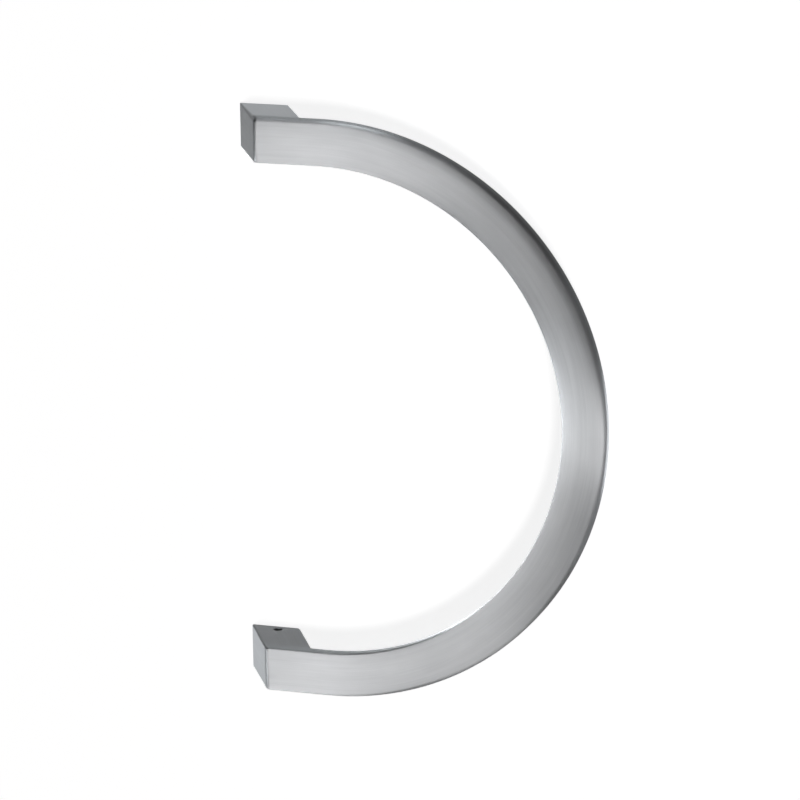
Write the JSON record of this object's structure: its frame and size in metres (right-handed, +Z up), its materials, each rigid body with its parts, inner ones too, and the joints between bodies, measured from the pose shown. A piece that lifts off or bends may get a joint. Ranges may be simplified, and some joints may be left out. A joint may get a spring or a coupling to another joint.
{
  "type": "panel pull handle",
  "caption": "Half-round pull handle of crowned stainless bar on raked square feet, fixed to a door through concealed tapped spigots locked by grub screws.",
  "frame": {"origin": "on the door's face, midway between the two fixing axes", "axes": "+Y goes into the door, +X is the side that the bow stands out to, and +Z runs up from the lower fixing axis to the upper one"},
  "size_m": [0.2206, 0.04, 0.325],
  "materials": {
    "satin_stainless": "brushed along the bar",
    "turned_steel": "turned",
    "screw_steel": "dark oxide"
  },
  "bodies": {
    "root": {"handle_body": "satin_stainless", "upper_spigot": "turned_steel", "lower_spigot": "turned_steel", "grub_screws": "screw_steel"}
  },
  "joints": []
}
